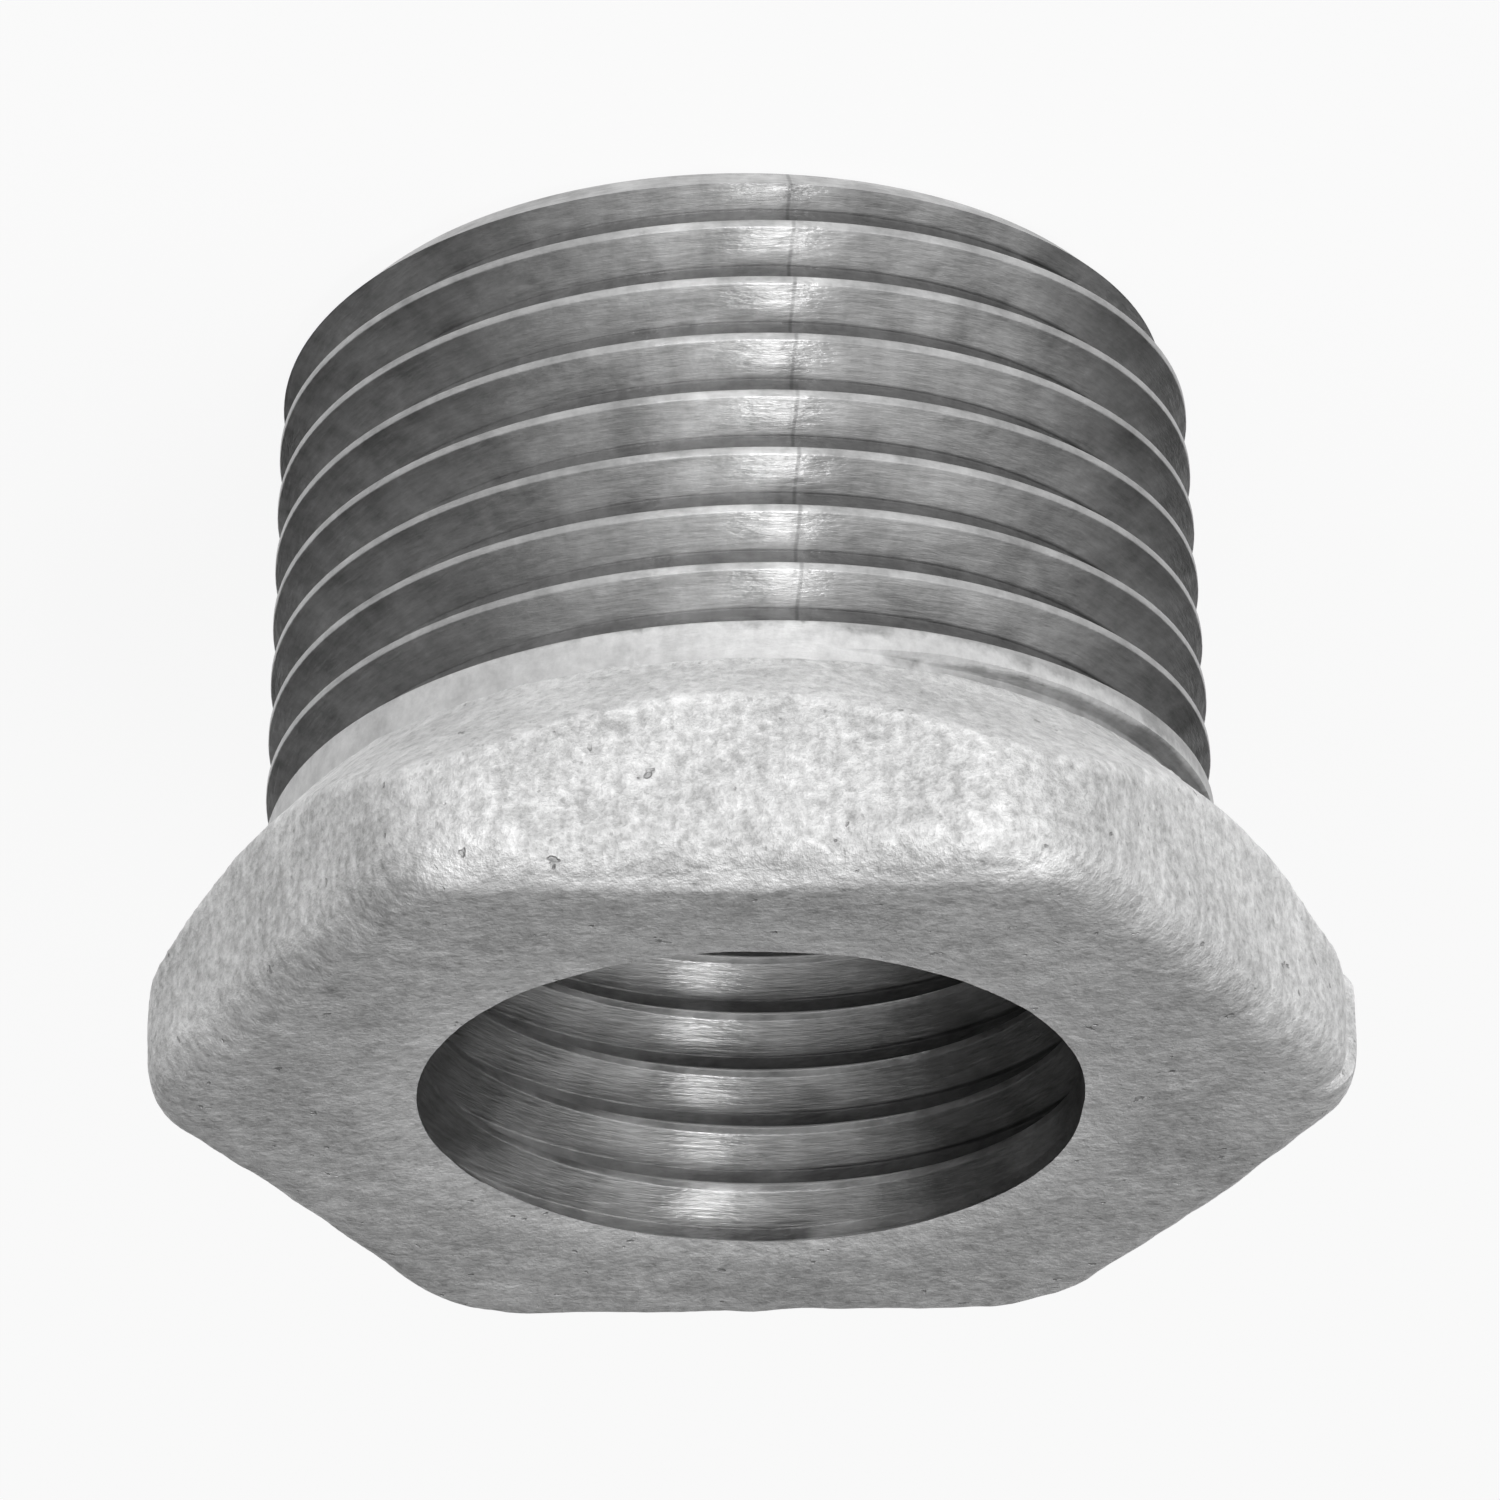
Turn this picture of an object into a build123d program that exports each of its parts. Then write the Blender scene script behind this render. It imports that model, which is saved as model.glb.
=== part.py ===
from build123d import *
from math import atan, cos, degrees, floor, radians, tan
import os

os.makedirs("parts", exist_ok=True)

# Hexagon reducing bushing, R 3/4 taper thread outside and Rp 1/2 parallel
# thread inside. One malleable iron casting, galvanised, with its threads cut
# afterwards. Millimetres. Z = 0 is the narrow face of the threaded spigot, +Z
# runs along the axis to the open face of the wrench head, one flat faces -Y.

# pipe thread form, 14 turns to the inch: 55 degree flanks, which lean back a
# little above the pitch line towards the rounded crest
thread_pitch = 1.814
flank_half_angle = 27.5
crest_half_angle = 28.5
groove_overshoot = 0.15

# spigot that carries the outside thread, taper 1:16 on the diameter
spigot_length = 16.1
gauge_diameter = 26.441
gauge_length = 9.5
taper_on_diameter = 0.0625
lead_chamfer_length = 1.1
lead_chamfer_depth = 1.1
runout_turns = 0.8
plain_length = 1.5

# wrench head, with the cone that takes the corners off its spigot side
head_across_flats = 30.4
head_corner_radius = 4.4
head_corner_height = 3.3
head_rim_radius = 0.6
shoulder_angle = 45.0

# bore, at the crest diameter of the inside thread
bore_diameter = 18.631
mouth_dish_diameter = 22.0
mouth_dish_depth = 0.35
tail_chamfer = 0.5

# the thread's flanks meet in sharp triangles, and a sixth is off each end
thread_triangle = thread_pitch / 2 / tan(radians(flank_half_angle))
thread_depth = thread_triangle * 2 / 3
thread_root_flat = thread_pitch / 6
threaded_turns = floor((spigot_length - plain_length) / thread_pitch - runout_turns)
runout_z = threaded_turns * thread_pitch


def crest_radius(z):
    """Outer radius of the taper thread's blank at height z."""
    return (gauge_diameter + (z - gauge_length) * taper_on_diameter) / 2


shoulder_radius = crest_radius(spigot_length)
corner_inset = head_across_flats / 2 - head_corner_radius
head_corner_reach = corner_inset / cos(radians(30)) + head_corner_radius
shoulder_height = (head_corner_reach - shoulder_radius) / tan(radians(shoulder_angle))
head_height = shoulder_height + head_corner_height
overall_length = spigot_length + head_height
bore_radius = bore_diameter / 2


def cut_groove(start_z, turns, rise):
    """Cut a groove up from start_z on the +X side, its root moving out by rise."""
    climb = turns * thread_pitch
    root_radius = crest_radius(start_z) - thread_depth
    root_half = thread_root_flat / 2
    pitch_radius = root_radius + thread_depth / 2
    pitch_half = root_half + thread_depth / 2 * tan(radians(flank_half_angle))
    mouth_radius = root_radius + thread_depth + groove_overshoot
    mouth_half = pitch_half + (mouth_radius - pitch_radius) * tan(radians(crest_half_angle))
    with BuildSketch(Plane.XZ) as cutter:
        with BuildLine():
            Polyline(
                (root_radius, start_z - root_half),
                (pitch_radius, start_z - pitch_half),
                (mouth_radius, start_z - mouth_half),
                (mouth_radius, start_z + mouth_half),
                (pitch_radius, start_z + pitch_half),
                (root_radius, start_z + root_half),
                close=True,
            )
        make_face()
    root_helix = Helix(
        thread_pitch,
        climb,
        root_radius,
        center=(0, 0, start_z),
        cone_angle=degrees(atan(rise / climb)),
    )
    sweep(cutter.sketch, path=root_helix, is_frenet=True, mode=Mode.SUBTRACT)


with BuildPart() as hex_bushing:
    # wrench head: a hexagon with generous cast corners
    with BuildSketch(Plane.XY.offset(spigot_length)) as head_outline:
        RegularPolygon(head_across_flats / 2, 6, major_radius=False)
        fillet(head_outline.vertices(), head_corner_radius)
    extrude(amount=head_height)

    # the shoulder cone leaves each flat with a curved upper edge
    shoulder_reach = shoulder_radius + head_height * tan(radians(shoulder_angle))
    with BuildSketch(Plane.XZ) as shoulder_section:
        with BuildLine():
            Polyline(
                (0, spigot_length),
                (shoulder_radius, spigot_length),
                (shoulder_reach, overall_length),
                (0, overall_length),
                close=True,
            )
        make_face()
    revolve(axis=Axis.Z, mode=Mode.INTERSECT)
    rim_edges = hex_bushing.faces().sort_by(Axis.Z)[-1].edges()
    fillet(rim_edges, head_rim_radius)

    # spigot: the taper blank of the outside thread, with its lead chamfer
    with BuildSketch(Plane.XZ) as spigot_section:
        with BuildLine():
            Polyline(
                (0, 0),
                (crest_radius(lead_chamfer_length) - lead_chamfer_depth, 0),
                (crest_radius(lead_chamfer_length), lead_chamfer_length),
                (shoulder_radius, spigot_length),
                (0, spigot_length),
                close=True,
            )
        make_face()
    revolve(axis=Axis.Z)

    # bore right through, with a shallow cast dish round its mouth
    with BuildSketch(Plane.XZ) as bore_section:
        with BuildLine():
            Polyline(
                (0, 0),
                (bore_radius + tail_chamfer, 0),
                (bore_radius, tail_chamfer),
                (bore_radius, overall_length - mouth_dish_depth),
                (mouth_dish_diameter / 2, overall_length),
                (0, overall_length),
                close=True,
            )
        make_face()
    revolve(axis=Axis.Z, mode=Mode.SUBTRACT)

    # outside thread: whole turns on the taper from below the narrow face, then
    # a last part turn that climbs out of the metal under the head
    threaded_climb = (threaded_turns + 1) * thread_pitch
    cut_groove(-thread_pitch, threaded_turns + 1, threaded_climb * taper_on_diameter / 2)
    cut_groove(runout_z, runout_turns, thread_depth + groove_overshoot)

hex_bushing.part.label = "hex_bushing"
export_step(hex_bushing.part, "parts/hex_bushing.step")
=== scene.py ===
import bpy
import math
from mathutils import Matrix, Vector


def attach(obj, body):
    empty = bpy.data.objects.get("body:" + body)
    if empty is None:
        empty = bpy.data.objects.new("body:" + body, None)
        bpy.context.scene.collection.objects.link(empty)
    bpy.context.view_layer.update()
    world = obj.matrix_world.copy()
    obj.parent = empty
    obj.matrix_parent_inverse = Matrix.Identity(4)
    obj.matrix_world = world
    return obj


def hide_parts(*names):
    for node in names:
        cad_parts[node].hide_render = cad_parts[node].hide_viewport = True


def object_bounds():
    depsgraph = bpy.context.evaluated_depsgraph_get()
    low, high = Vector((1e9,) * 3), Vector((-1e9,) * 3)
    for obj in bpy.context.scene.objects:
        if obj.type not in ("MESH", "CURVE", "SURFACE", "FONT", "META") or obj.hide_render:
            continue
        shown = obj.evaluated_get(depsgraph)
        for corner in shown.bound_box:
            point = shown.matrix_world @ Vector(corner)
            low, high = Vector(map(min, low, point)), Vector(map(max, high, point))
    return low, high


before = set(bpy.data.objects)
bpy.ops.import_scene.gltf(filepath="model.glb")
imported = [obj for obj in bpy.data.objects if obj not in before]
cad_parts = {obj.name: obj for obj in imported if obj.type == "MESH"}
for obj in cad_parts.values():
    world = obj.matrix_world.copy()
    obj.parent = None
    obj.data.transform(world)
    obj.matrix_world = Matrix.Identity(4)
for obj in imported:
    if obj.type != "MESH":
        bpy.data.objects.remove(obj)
size_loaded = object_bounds()

# ---------------------------------------------------------------------------
# Zinc skin: mottled, with specks and pits, and lighter round the bore's mouth,
# with painted light on the shoulder cone, which faces down, and a painted
# highlight along the front rim. Patterns read Object coordinates in metres, and
# the lengths below are in millimetres.
# ---------------------------------------------------------------------------
MM = 0.001
TAPER = 1 / 32
GAUGE_R = 13.2205
GAUGE_Z = 9.5
SPIGOT = 16.1
NOISE_RANGE = (0.3, 0.7)
GRAIN_RANGE = (0.32, 0.68)
ZINC_TONE = 0.64
ZINC_METALLIC = 0.4
ZINC_ROUGHNESS = (0.60, 0.38)
ZINC_BUMP = 0.18 * MM
SPECK_EDGE = (0.27, 0.35)
SPECK_TONE = 0.74
PIT_EDGE = (0.24, 0.28)
PIT_TONE = 0.62
# painted light: the shoulder cone, which faces down, is made lighter
SHOULDER_PAINTED_LIGHT_EDGE = (0.15, 0.6)
SHOULDER_PAINTED_LIGHT = 0.15
MOUTH_EDGE = (9.9, 11.2)
MOUTH_LIGHT = 0.15
# painted highlight: a lighter ragged line along the front rim, on the -Y side only
PAINTED_RIM_HIGHLIGHT_Y = -13.75
PAINTED_RIM_HIGHLIGHT_EDGE = (0.15, 0.40)
PAINTED_RIM_HIGHLIGHT_END_X = (8.0, 8.8)
PAINTED_RIM_HIGHLIGHT_START_Z = (21.8, 22.2)
PAINTED_RIM_HIGHLIGHT_GAIN = 0.24


class Nodes:
    """Short ways to add the nodes that the materials and the sky share."""

    def __init__(self, tree):
        self.tree = tree

    def node(self, kind, **settings):
        made = self.tree.nodes.new(kind)
        for key, value in settings.items():
            setattr(made, key, value)
        return made

    def feed(self, socket, value):
        """Set a socket to a constant, or link an output to it."""
        if isinstance(value, bpy.types.NodeSocket):
            self.tree.links.new(value, socket)
        else:
            socket.default_value = value

    def math(self, operation, first, second=0.0):
        made = self.node("ShaderNodeMath", operation=operation)
        self.feed(made.inputs[0], first)
        self.feed(made.inputs[1], second)
        return made.outputs[0]

    def add(self, first, *others):
        for other in others:
            first = self.math("ADD", first, other)
        return first

    def times(self, first, *others):
        for other in others:
            first = self.math("MULTIPLY", first, other)
        return first

    def vector(self, operation, first, second=(0, 0, 0), output="Vector"):
        made = self.node("ShaderNodeVectorMath", operation=operation)
        self.feed(made.inputs[0], first)
        self.feed(made.inputs[1], second)
        return made.outputs[output]

    def split(self, vector):
        made = self.node("ShaderNodeSeparateXYZ")
        self.feed(made.inputs[0], vector)
        return made.outputs

    def span(self, value, low, high, to_low=0.0, to_high=1.0):
        """Map low..high to to_low..to_high, clamped."""
        made = self.node("ShaderNodeMapRange")
        for socket, number in zip(made.inputs, (value, low, high, to_low, to_high)):
            self.feed(socket, number)
        return made.outputs[0]

    def swing(self, noise, amount, low=NOISE_RANGE[0], high=NOISE_RANGE[1]):
        """Map a noise's usual range to -amount..amount."""
        return self.span(noise, low, high, -amount, amount)

    def fade(self, value, low, high, amount=1.0):
        """The amount up to low, and nothing from high on."""
        return self.span(value, low, high, amount, 0)

    def shade(self, value, low, high, tone):
        """The tone up to low, and 1 from high on."""
        return self.span(value, low, high, tone, 1)


class Paint(Nodes):
    """A material of the bushing, with the shaded point's place on the part."""

    def __init__(self, name):
        self.material = bpy.data.materials.new(name)
        self.material.use_nodes = True
        super().__init__(self.material.node_tree)
        self.shader = self.tree.nodes["Principled BSDF"]
        self.place = self.node("ShaderNodeTexCoord").outputs["Object"]
        self.spot = self.scaled((1 / MM, 1 / MM, 1 / MM))
        self.x, self.y, self.height = self.split(self.spot)
        self.radius = self.vector("LENGTH", self.scaled((1 / MM, 1 / MM, 0)), output="Value")
        self.outward = self.vector("NORMALIZE", self.scaled((1, 1, 0)))

    def scaled(self, scale):
        return self.vector("MULTIPLY", self.place, scale)

    def noise(self, place, scale, detail, roughness):
        made = self.node("ShaderNodeTexNoise")
        self.feed(made.inputs["Vector"], place)
        made.inputs["Scale"].default_value = scale
        made.inputs["Detail"].default_value = detail
        made.inputs["Roughness"].default_value = roughness
        return made.outputs["Fac"]

    def round_the_axis(self, along, climb=0.35):
        """A place that runs fast with radius and height and slowly round the axis."""
        around = self.split(self.vector("MULTIPLY", self.outward, (along, along, 0)))
        made = self.node("ShaderNodeCombineXYZ")
        self.feed(made.inputs[0], around[0])
        self.feed(made.inputs[1], around[1])
        self.feed(made.inputs[2], self.add(self.radius, self.times(self.height, climb)))
        return made.outputs[0]

    def turned(self):
        """Turning marks stretch a highlight across themselves, along the axis."""
        tangent = self.node("ShaderNodeTangent", direction_type="RADIAL", axis="Z")
        self.feed(self.shader.inputs["Tangent"], tangent.outputs[0])
        self.shader.inputs["Anisotropic"].default_value = 1.0
        self.shader.inputs["Anisotropic Rotation"].default_value = 0.25

    def finish(self, tone, metallic, roughness, relief, distance):
        grey = self.node("ShaderNodeCombineColor")
        for socket in grey.inputs:
            self.feed(socket, tone)
        bump = self.node("ShaderNodeBump")
        self.feed(bump.inputs["Height"], relief)
        bump.inputs["Distance"].default_value = distance
        self.feed(self.shader.inputs["Base Color"], grey.outputs[0])
        self.feed(self.shader.inputs["Metallic"], metallic)
        self.feed(self.shader.inputs["Roughness"], roughness)
        self.feed(self.shader.inputs["Normal"], bump.outputs["Normal"])


def crest_radius(z):
    """Radius of the taper thread's crests at height z."""
    return GAUGE_R + (z - GAUGE_Z) * TAPER


zinc = Paint("galvanised_skin")
broad = zinc.noise(zinc.place, scale=330, detail=4, roughness=0.6)
grain = zinc.noise(zinc.place, scale=3200, detail=4, roughness=0.7)
streaks = zinc.noise(zinc.scaled((1, 1, 0.16)), scale=2000, detail=3, roughness=0.6)
specks = zinc.noise(zinc.place, scale=3600, detail=2, roughness=0.6)
pits = zinc.span(zinc.noise(zinc.place, scale=1900, detail=2, roughness=0.5), *PIT_EDGE)
wander = zinc.swing(broad, 0.8)
shoulder_lead = crest_radius(SPIGOT) - SPIGOT
off_cone = zinc.math("SUBTRACT", zinc.math("SUBTRACT", zinc.radius, zinc.height), shoulder_lead)
# painted highlight along the front rim
off_painted_rim_highlight = zinc.add(zinc.y, zinc.times(wander, 0.3), -PAINTED_RIM_HIGHLIGHT_Y)
painted_rim_highlight = zinc.times(
    zinc.fade(zinc.math("ABSOLUTE", off_painted_rim_highlight), *PAINTED_RIM_HIGHLIGHT_EDGE, PAINTED_RIM_HIGHLIGHT_GAIN),
    zinc.fade(zinc.math("ABSOLUTE", zinc.x), *PAINTED_RIM_HIGHLIGHT_END_X),
    zinc.span(zinc.height, *PAINTED_RIM_HIGHLIGHT_START_Z))
tone = zinc.add(
    zinc.swing(broad, 0.10),
    zinc.swing(grain, 0.17, *GRAIN_RANGE),
    zinc.swing(streaks, 0.08),
    # painted light on the downward-facing shoulder cone
    zinc.fade(zinc.math("ABSOLUTE", off_cone), *SHOULDER_PAINTED_LIGHT_EDGE, SHOULDER_PAINTED_LIGHT),
    zinc.fade(zinc.add(zinc.radius, wander), *MOUTH_EDGE, MOUTH_LIGHT),
    painted_rim_highlight,
    ZINC_TONE)
tone = zinc.times(
    tone,
    zinc.shade(specks, *SPECK_EDGE, SPECK_TONE),
    zinc.shade(pits, 0, 1, PIT_TONE))
relief = zinc.add(zinc.times(grain, 0.6), broad, zinc.times(pits, 0.5))
zinc.finish(tone, ZINC_METALLIC, zinc.span(grain, *NOISE_RANGE, *ZINC_ROUGHNESS), relief, ZINC_BUMP)

# ---------------------------------------------------------------------------
# Cut outside thread: bare metal with turning marks, with painted shade in the
# roots, a chaser's mark and one pit. The zinc comes in raggedly under the head.
# ---------------------------------------------------------------------------
PATCH_RANGE = (0.35, 0.68)
ROUGHNESS_RANGE = (0.35, 0.7)
OUTSIDE_TONES = (0.44, 0.60)
OUTSIDE_PATCHES = (-0.13, 0.12)
OUTSIDE_ROUGHNESS = (0.30, 0.40)
OUTSIDE_BUMP = 0.03 * MM
MARK_OUTWARD_X = -0.132
MARK_EDGE = (0.002, 0.006)
MARK_TONE = 0.7
DENT_PLACE = (3.2, -12.25, 9.65)
DENT_EDGE = (0.15, 0.32)
DENT_TONE = 0.5
# painted shade: darker in the thread roots
OUTSIDE_ROOT_PAINTED_SHADE_EDGE = (1.08, 1.16)
OUTSIDE_ROOT_PAINTED_SHADE = 0.32
COAT_START_Z = (14.75, 15.0)
COAT_LAG = 2.5
COAT_TONE = 0.66

outside = Paint("cut_outside_thread")
lines = outside.noise(outside.round_the_axis(1.6), scale=9, detail=3, roughness=0.7)
chatter = outside.noise(outside.round_the_axis(14), scale=1.3, detail=3, roughness=0.6)
patches = outside.noise(outside.place, scale=420, detail=5, roughness=0.7)
clouding = outside.noise(outside.place, scale=1500, detail=4, roughness=0.7)
crest = outside.add(outside.times(outside.height, TAPER), GAUGE_R - GAUGE_Z * TAPER)
below_crest = outside.math("SUBTRACT", crest, outside.radius)
off_mark = outside.math("ABSOLUTE", outside.add(outside.split(outside.outward)[0], -MARK_OUTWARD_X))
off_dent = outside.vector("DISTANCE", outside.spot, DENT_PLACE, output="Value")
cut_tone = outside.add(
    outside.span(lines, *NOISE_RANGE, *OUTSIDE_TONES),
    outside.span(patches, *PATCH_RANGE, *OUTSIDE_PATCHES),
    outside.swing(chatter, 0.05))
cut_tone = outside.times(
    cut_tone,
    outside.shade(off_mark, *MARK_EDGE, MARK_TONE),
    outside.shade(off_dent, *DENT_EDGE, DENT_TONE),
    # painted shade in the roots
    outside.span(below_crest, *OUTSIDE_ROOT_PAINTED_SHADE_EDGE, 1, OUTSIDE_ROOT_PAINTED_SHADE))
ragged = outside.add(outside.height, outside.swing(patches, 0.3))
ragged = outside.math("SUBTRACT", ragged, outside.times(below_crest, COAT_LAG))
coat = outside.span(ragged, *COAT_START_Z)
coat_tone = outside.add(outside.swing(clouding, 0.12), COAT_TONE)
tone = outside.add(
    outside.times(coat_tone, coat),
    outside.times(cut_tone, outside.fade(coat, 0, 1)))
outside.finish(
    tone,
    outside.span(coat, 0, 1, 1, ZINC_METALLIC),
    outside.span(patches, *ROUGHNESS_RANGE, *OUTSIDE_ROUGHNESS),
    outside.add(lines, outside.times(patches, 0.6)),
    OUTSIDE_BUMP)
outside.turned()

# ---------------------------------------------------------------------------
# Cut inside thread: the same bare metal with broader turning marks, and painted
# shade in the roots, from a radius just short of their full depth.
# ---------------------------------------------------------------------------
INSIDE_TONES = (0.38, 0.60)
INSIDE_ROUGHNESS = (0.28, 0.38)
INSIDE_BUMP = 0.04 * MM
# painted shade: darker in the roots of the inside thread
INSIDE_ROOT_PAINTED_SHADE_EDGE = (10.40, 10.47)
INSIDE_ROOT_PAINTED_SHADE = 0.34

inside = Paint("cut_inside_thread")
lines = inside.noise(inside.round_the_axis(1.2), scale=7, detail=3, roughness=0.75)
patches = inside.noise(inside.place, scale=500, detail=4, roughness=0.6)
tone = inside.add(
    inside.span(lines, *NOISE_RANGE, *INSIDE_TONES),
    inside.swing(patches, 0.10, *PATCH_RANGE))
# painted shade in the roots
tone = inside.times(tone, inside.span(inside.radius, *INSIDE_ROOT_PAINTED_SHADE_EDGE, 1, INSIDE_ROOT_PAINTED_SHADE))
roughness = inside.span(patches, *ROUGHNESS_RANGE, *INSIDE_ROUGHNESS)
inside.finish(tone, 1.0, roughness, lines, INSIDE_BUMP)
inside.turned()

# ---------------------------------------------------------------------------
# Cast head: a hexagon with big cast corners, its spigot side turned off by a
# 45 degree shoulder cone. Modelled in millimetres, then remeshed and softened
# like a sand casting with a coat of zinc on it.
# ---------------------------------------------------------------------------
LENGTH = size_loaded[1][2] / MM
ACROSS_FLATS = 30.4
HALF_SIDE = math.radians(30)
CORNER_R = 4.4
CORNER_SEGMENTS = 14
RIM_R = 1.2
RIM_SEGMENTS = 4
BORE_R = 9.3155
DISH_R = 10.8
DISH_DEPTH = 0.15
COLLAR_LOW = 15.9
COLLAR_HIGH = SPIGOT + 0.6
SPARE = 1
UPRIGHT = 1
CLOSE = 0.01
ROUND_STEPS = 180
DISH_STEPS = 120
VOXEL = 0.205
WAVE_SIZE = 1.6
WAVE_HEIGHT = 0.14
CROWN = 0.15
DRAFT = 0.9
DRAFT_ANGLE = -90
DRAFT_WIDTH = 28
STILL_R = 12.5
MOVING_R = 14.5
# swells of the casting: centre and width in degrees round the axis, and height
CAST_SWELLS = ((150, 26, 0.5), (30, 26, -0.25), (178, 20, 0.15), (-20, 25, -0.15))


def only(obj):
    """Make obj the one selected and active object, in object mode."""
    if bpy.context.mode != "OBJECT":
        bpy.ops.object.mode_set(mode="OBJECT")
    bpy.ops.object.select_all(action="DESELECT")
    obj.select_set(True)
    bpy.context.view_layer.objects.active = obj
    return obj


def named(name):
    obj = bpy.context.active_object
    obj.name = name
    return obj


def cover(obj, paint):
    """One material slot, which a Boolean carries over with the faces."""
    obj.data.materials.clear()
    obj.data.materials.append(paint.material)


def modify(obj, kind, **settings):
    """Add a modifier and apply it at once."""
    only(obj)
    mod = obj.modifiers.new(kind.title(), kind)
    for key, value in settings.items():
        setattr(mod, key, value)
    bpy.ops.object.modifier_apply(modifier=mod.name)


def combine(obj, other, operation):
    """Boolean obj with other, and throw the other away."""
    modify(obj, "BOOLEAN", object=other, operation=operation, solver="EXACT",
           material_mode="TRANSFER")
    bpy.data.objects.remove(other, do_unlink=True)


def wire(name, section):
    """An open line of (radius, height) points in the XZ plane, in edit mode."""
    bpy.ops.object.select_all(action="DESELECT")
    bpy.ops.mesh.primitive_circle_add(vertices=len(section), radius=1)
    obj = named(name)
    for vertex, (radius, height) in zip(obj.data.vertices, section):
        vertex.co = (radius, 0, height)
    ends = {0, len(section) - 1}
    bpy.ops.object.mode_set(mode="EDIT")
    bpy.ops.mesh.select_all(action="DESELECT")
    bpy.ops.mesh.select_mode(type="EDGE")
    bpy.ops.object.mode_set(mode="OBJECT")
    for edge in obj.data.edges:
        edge.select = set(edge.vertices) == ends
    bpy.ops.object.mode_set(mode="EDIT")
    bpy.ops.mesh.delete(type="EDGE")
    bpy.ops.mesh.select_mode(type="VERT")
    bpy.ops.mesh.select_all(action="SELECT")
    return obj


def lathe(name, section, steps):
    """Spin a section that begins and ends on the axis into a solid."""
    obj = wire(name, section)
    bpy.ops.mesh.spin(steps=steps, angle=math.tau, center=(0, 0, 0), axis=(0, 0, 1))
    bpy.ops.mesh.select_all(action="SELECT")
    bpy.ops.mesh.remove_doubles(threshold=0.0005)
    bpy.ops.mesh.normals_make_consistent(inside=False)
    bpy.ops.object.mode_set(mode="OBJECT")
    return obj


def bevel_edges(obj, wanted, width, segments):
    """Round the edges whose two end points pass the test."""
    only(obj)
    bpy.ops.object.mode_set(mode="EDIT")
    bpy.ops.mesh.select_mode(type="EDGE")
    bpy.ops.mesh.select_all(action="DESELECT")
    bpy.ops.object.mode_set(mode="OBJECT")
    for edge in obj.data.edges:
        edge.select = wanted(*(obj.data.vertices[i].co for i in edge.vertices))
    bpy.ops.object.mode_set(mode="EDIT")
    bpy.ops.mesh.bevel(offset=width, segments=segments, profile=0.5, affect="EDGES")
    bpy.ops.object.mode_set(mode="OBJECT")


def clamp(value):
    return min(1, max(0, value))


def bell(angle, centre, width):
    """1 at the centre, falling away on both sides."""
    return math.exp(-((angle - centre) / width) ** 2)


bpy.ops.object.select_all(action="DESELECT")
bpy.ops.mesh.primitive_cylinder_add(
    vertices=6, radius=ACROSS_FLATS / math.sqrt(3), depth=LENGTH - SPIGOT + SPARE,
    location=(0, 0, (LENGTH + SPIGOT - SPARE) / 2), rotation=(0, 0, HALF_SIDE))
head = named("bushing_head")
bpy.ops.object.transform_apply(location=True, rotation=True, scale=True)
bevel_edges(head, lambda one, two: abs(one.z - two.z) > UPRIGHT,
            CORNER_R * math.tan(HALF_SIDE), CORNER_SEGMENTS)
shoulder_r = crest_radius(SPIGOT)
beyond = LENGTH + SPARE
shoulder = lathe("shoulder_cone", [
    (0, SPIGOT), (shoulder_r, SPIGOT), (shoulder_r + (beyond - SPIGOT), beyond), (0, beyond)],
    ROUND_STEPS)
combine(head, shoulder, "INTERSECT")
bevel_edges(head, lambda one, two: min(one.z, two.z) > LENGTH - CLOSE, RIM_R, RIM_SEGMENTS)
collar = lathe("collar", [
    (0, COLLAR_LOW), (shoulder_r, COLLAR_LOW), (shoulder_r, COLLAR_HIGH), (0, COLLAR_HIGH)],
    ROUND_STEPS)
combine(head, collar, "UNION")
dish = lathe("mouth_dish", [
    (0, LENGTH - DISH_DEPTH), (BORE_R, LENGTH - DISH_DEPTH), (DISH_R, LENGTH),
    (DISH_R, beyond), (0, beyond)],
    DISH_STEPS)
combine(head, dish, "DIFFERENCE")
modify(head, "REMESH", mode="VOXEL", voxel_size=VOXEL)
modify(head, "SMOOTH", factor=0.5, iterations=3)
clouds = bpy.data.textures.new("cast_waviness", "CLOUDS")
clouds.noise_scale = WAVE_SIZE
clouds.noise_depth = 3
modify(head, "DISPLACE", texture=clouds, texture_coords="LOCAL", strength=WAVE_HEIGHT,
       mid_level=0.5)
for vertex in head.data.vertices:
    x, y, z = vertex.co
    radius = math.hypot(x, y)
    angle = math.degrees(math.atan2(y, x))
    swell = sum(size * bell(angle, centre, width) for centre, width, size in CAST_SWELLS)
    rise = max(0, (z - SPIGOT) / (LENGTH - SPIGOT))
    swell -= DRAFT * rise ** 2 * bell(angle, DRAFT_ANGLE, DRAFT_WIDTH)
    swell *= clamp((radius - STILL_R) / (MOVING_R - STILL_R))
    vertex.co = (x * (1 + swell / radius), y * (1 + swell / radius), z + CROWN * rise)
cover(head, zinc)

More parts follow.
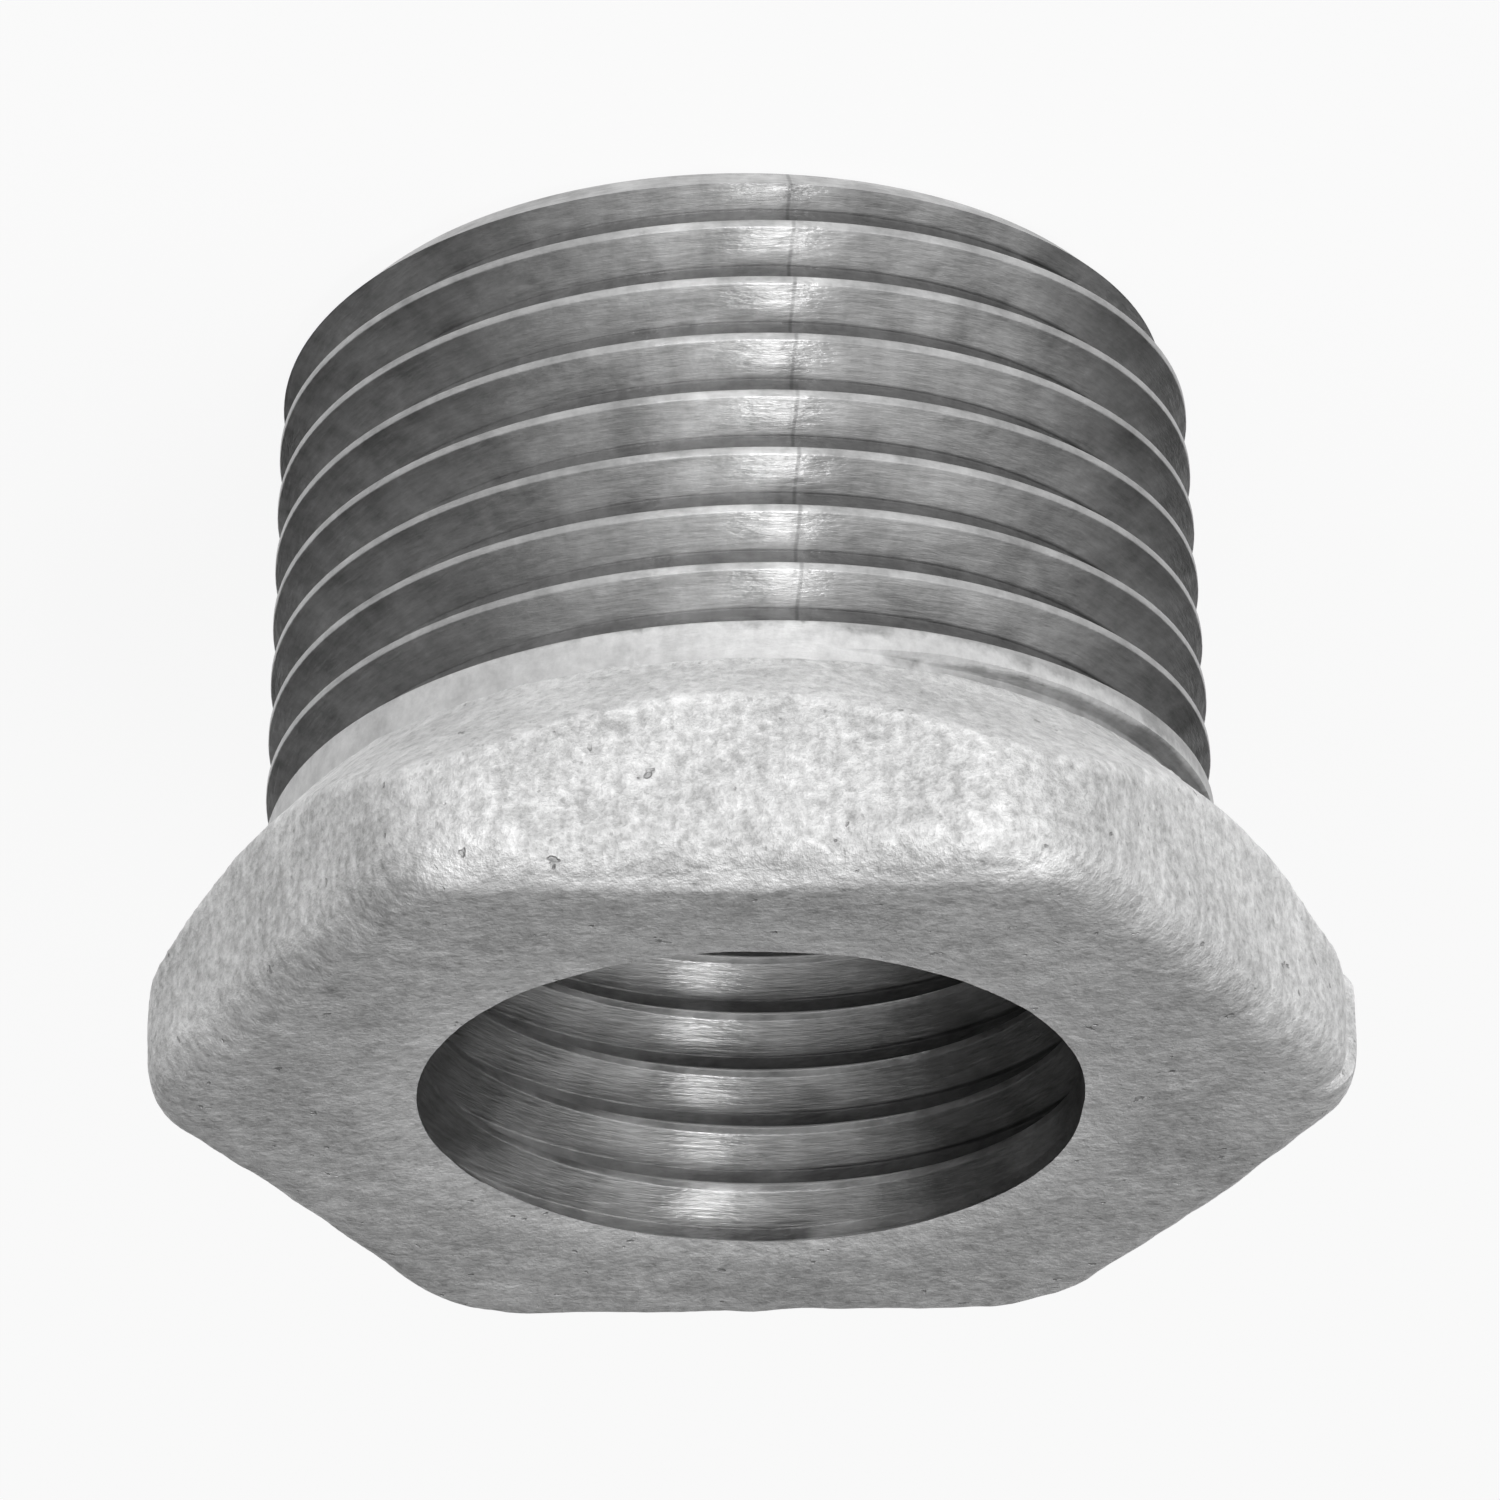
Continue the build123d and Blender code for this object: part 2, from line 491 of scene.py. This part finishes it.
# ---------------------------------------------------------------------------
# Threaded spigot: one pitch of the 55 degree thread form, screwed round the
# axis and drawn in to the 1:16 taper, then faced and chamfered. The groove
# leaves the metal over the last part turn.
# ---------------------------------------------------------------------------
PITCH = 1.814
DEPTH = 1.162
FLANK = math.radians(27.5)
EDGE_R = 0.06
EDGE_STEPS = 3
CREST_FLAT = 0.16
SPIGOT_START = -1.5 * PITCH
SPIGOT_TURNS = 12
SPIGOT_STEPS = 160
FULL_TURNS = 8
RUNOUT_TURNS = 0.68
RUNOUT_END = 0.06
LAST_DEPTH = 0.4
CLEAR_OF_METAL = 1.5
LEAD_CHAMFER = 1.1
SPIGOT_TOP = 16.3
SPIGOT_CUTS = (-0.4, 16.6)
SPIGOT_OFFSET = 0.05


def thread_form(crest, outward):
    """One pitch of the thread, from crest to crest, as (radius, height)."""
    lean = math.pi / 2 - FLANK
    form = [(crest, 0)]
    for step in range(EDGE_STEPS + 1):
        turn = lean * step / EDGE_STEPS
        form.append((crest - outward * EDGE_R * (1 - math.cos(turn)),
                     CREST_FLAT / 2 + EDGE_R * math.sin(turn)))
    edge_drop = EDGE_R * (1 - math.cos(lean))
    foot = form[-1][1] + (DEPTH - 2 * edge_drop) * math.tan(FLANK)
    for step in range(EDGE_STEPS + 1):
        turn = lean * (1 - step / EDGE_STEPS)
        form.append((crest - outward * (DEPTH - EDGE_R * (1 - math.cos(turn))),
                     foot + EDGE_R * (math.sin(lean) - math.sin(turn))))
    form.append((crest - outward * DEPTH, PITCH / 2))
    return form + [(radius, PITCH - height) for radius, height in reversed(form[:-1])]


def screw_thread(name, crest, outward, start, turns, steps):
    """Screw the thread form up from start on the +X side."""
    form = [(radius, start + height) for radius, height in thread_form(crest, outward)]
    obj = wire(name, form)
    modify(obj, "SCREW", angle=math.tau, screw_offset=PITCH, iterations=turns, steps=steps,
           render_steps=steps)
    only(obj)
    bpy.ops.object.mode_set(mode="EDIT")
    bpy.ops.mesh.select_all(action="SELECT")
    bpy.ops.mesh.remove_doubles(threshold=0.002)
    bpy.ops.object.mode_set(mode="OBJECT")
    return obj


def nearest_groove(x, y, z, phase=0):
    """Height in turns of the nearest root, where one is at phase on the +X side."""
    turn = phase + (math.atan2(y, x) / math.tau) % 1
    return turn + round(z / PITCH - turn)


def cap_between(obj, low, high):
    """Cut obj square at two heights and close it."""
    only(obj)
    bpy.ops.object.mode_set(mode="EDIT")
    bpy.ops.mesh.select_all(action="SELECT")
    bpy.ops.mesh.bisect(plane_co=(0, 0, low), plane_no=(0, 0, 1), use_fill=True, clear_inner=True)
    bpy.ops.mesh.select_all(action="SELECT")
    bpy.ops.mesh.bisect(plane_co=(0, 0, high), plane_no=(0, 0, 1), use_fill=True, clear_outer=True)
    bpy.ops.mesh.select_all(action="SELECT")
    bpy.ops.mesh.normals_make_consistent(inside=False)
    bpy.ops.object.mode_set(mode="OBJECT")


spigot = screw_thread("threaded_spigot", GAUGE_R, 1, SPIGOT_START, SPIGOT_TURNS, SPIGOT_STEPS)
for vertex in spigot.data.vertices:
    x, y, z = vertex.co
    radius = math.hypot(x, y)
    past = nearest_groove(x, y, z) - FULL_TURNS
    lift = (DEPTH - LAST_DEPTH) * clamp(past / RUNOUT_TURNS)
    lift += LAST_DEPTH * CLEAR_OF_METAL * clamp((past - RUNOUT_TURNS) / RUNOUT_END)
    wanted = radius + (z - GAUGE_Z) * TAPER + lift
    vertex.co = (x * wanted / radius, y * wanted / radius, z)
cap_between(spigot, *SPIGOT_CUTS)
blank = lathe("blank", [
    (0, 0), (crest_radius(LEAD_CHAMFER) - LEAD_CHAMFER, 0),
    (crest_radius(LEAD_CHAMFER), LEAD_CHAMFER), (crest_radius(SPIGOT_TOP), SPIGOT_TOP),
    (0, SPIGOT_TOP)],
    ROUND_STEPS)
cover(blank, outside)
cover(spigot, outside)
combine(spigot, blank, "INTERSECT")
for vertex in spigot.data.vertices:
    vertex.co.x += SPIGOT_OFFSET
combine(head, spigot, "UNION")

# ---------------------------------------------------------------------------
# Bore: a tap of the same thread form, parallel, taken out of the casting from
# end to end, with a countersink at the spigot end.
# ---------------------------------------------------------------------------
TAP_START = -2.47 * PITCH
TAP_PHASE = TAP_START / PITCH + 0.5
TAP_TURNS = 16
TAP_STEPS = 128
TAP_PAST_ENDS = 1.5
TAP_OFFSET = -0.14
LAST_ROOT = LENGTH - 0.15
FADE = 0.4
SINK = 0.5
SINK_STEPS = 144

tap = screw_thread("tap", BORE_R, -1, TAP_START, TAP_TURNS, TAP_STEPS)
for vertex in tap.data.vertices:
    x, y, z = vertex.co
    radius = math.hypot(x, y)
    groove = PITCH * nearest_groove(x, y, z, TAP_PHASE)
    wanted = BORE_R + (radius - BORE_R) * clamp((LAST_ROOT - groove) / FADE)
    vertex.co = (x * wanted / radius + TAP_OFFSET, y * wanted / radius, z)
cap_between(tap, -TAP_PAST_ENDS, LENGTH + TAP_PAST_ENDS)
cover(tap, inside)
combine(head, tap, "DIFFERENCE")
countersink = lathe("countersink", [
    (0, -SPARE), (BORE_R + SINK + SPARE, -SPARE), (BORE_R + SINK - SPARE, SPARE), (0, SPARE)],
    SINK_STEPS)
cover(countersink, inside)
combine(head, countersink, "DIFFERENCE")

# ---------------------------------------------------------------------------
# Finished bushing: one piece, brought from millimetres to metres, smooth but
# for its sharp edges, in the place of the solid.
# ---------------------------------------------------------------------------
bushing = only(head)
bushing.name = "galvanised_bushing"
bpy.ops.transform.resize(value=(MM, MM, MM))
bpy.ops.object.transform_apply(location=True, rotation=True, scale=True)
bpy.ops.object.shade_smooth_by_angle(angle=math.radians(35))
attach(bushing, "root")
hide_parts("hex_bushing")

# ---------------------------------------------------------------------------
# Camera: in front of the -Y flat and above the open face, and rolled over, so
# that the spigot comes out on top in the frame.
# ---------------------------------------------------------------------------
ELEVATION = math.radians(26.9)
ROLL = math.radians(-0.93)
DISTANCE = 320 * MM
AIM = Vector((-0.27, 0, LENGTH - 10.85)) * MM
PIXELS_PER_MM = 35.35
FRAME_PIXELS = 1500
SENSOR = 36

forward = Vector((0, math.cos(ELEVATION), -math.sin(ELEVATION)))
level = Vector((-1, 0, 0))
upright = level.cross(forward)
right = math.cos(ROLL) * level + math.sin(ROLL) * upright
up = math.cos(ROLL) * upright - math.sin(ROLL) * level
bpy.ops.object.select_all(action="DESELECT")
bpy.ops.object.camera_add()
camera = named("camera")
camera.matrix_world = (Matrix.Translation(AIM - forward * DISTANCE)
                       @ Matrix((right, up, -forward)).transposed().to_4x4())
camera.data.sensor_width = SENSOR
camera.data.lens = SENSOR * PIXELS_PER_MM * DISTANCE / MM / FRAME_PIXELS
camera.data.clip_start = 0.01
camera.data.clip_end = 20
bpy.context.scene.camera = camera

# ---------------------------------------------------------------------------
# Studio, in metres: a white floor, surroundings bright in front and nearly
# dark behind, a narrow lamp above the camera that draws the stripe on the
# threads, and a broad low one in front.
# ---------------------------------------------------------------------------
FLOOR_SIZE = 6
FLOOR_TONE = 0.85
FLOOR_GLOW = 0.9
FRONT = (-0.34, -0.94, 0)
BACK_TO_FRONT = (0.07, 1.75)
OVERHEAD_EDGE = (0.90, 0.985)
OVERHEAD = 0.45
STRIP_PLACE = (-0.085, -0.30, 0.42)
STRIP_TILT = math.atan2(-STRIP_PLACE[1], STRIP_PLACE[2])
FILL_PLACE = (0, -1.0, 0.12)
FILL_TILT = math.radians(90)


def area_lamp(name, place, tilt, width, depth, watts):
    """A rectangular lamp that faces down, tilted about its X axis."""
    bpy.ops.object.light_add(type="AREA", location=place, rotation=(tilt, 0, 0))
    lamp = named(name)
    lamp.data.shape = "RECTANGLE"
    lamp.data.size = width
    lamp.data.size_y = depth
    lamp.data.energy = watts


bpy.ops.object.select_all(action="DESELECT")
bpy.ops.mesh.primitive_plane_add(size=FLOOR_SIZE)
floor = named("floor")
table = bpy.data.materials.new("white_table")
table.use_nodes = True
white = Nodes(table.node_tree)
matt = white.tree.nodes["Principled BSDF"]
matt.inputs["Base Color"].default_value = (FLOOR_TONE, FLOOR_TONE, FLOOR_TONE, 1)
matt.inputs["Roughness"].default_value = 1
matt.inputs["Specular IOR Level"].default_value = 0
glow = white.node("ShaderNodeEmission")
glow.inputs["Strength"].default_value = 1
rays = white.node("ShaderNodeLightPath").outputs
seen = white.math("MAXIMUM", rays["Is Camera Ray"], rays["Is Glossy Ray"])
blend = white.node("ShaderNodeMixShader")
white.feed(blend.inputs[0], white.times(seen, FLOOR_GLOW))
white.feed(blend.inputs[1], matt.outputs[0])
white.feed(blend.inputs[2], glow.outputs[0])
white.feed(white.tree.nodes["Material Output"].inputs["Surface"], blend.outputs[0])
floor.data.materials.append(table)

world = bpy.context.scene.world or bpy.data.worlds.new("world")
bpy.context.scene.world = world
world.use_nodes = True
sky = Nodes(world.node_tree)
background = sky.tree.nodes["Background"]
direction = sky.node("ShaderNodeTexCoord").outputs["Generated"]
facing = sky.vector("DOT_PRODUCT", direction, FRONT, output="Value")
side_light = sky.span(facing, 0, 1, *BACK_TO_FRONT)
top_light = sky.span(sky.split(direction)[2], *OVERHEAD_EDGE, 0, OVERHEAD)
sky.feed(background.inputs["Strength"], sky.add(side_light, top_light))
background.inputs["Color"].default_value = (1, 1, 1, 1)

area_lamp("front_strip", STRIP_PLACE, STRIP_TILT, width=0.075, depth=0.20, watts=0.36)
area_lamp("low_front_fill", FILL_PLACE, FILL_TILT, width=0.7, depth=0.2, watts=1.5)

bpy.context.scene.view_settings.view_transform = "Standard"
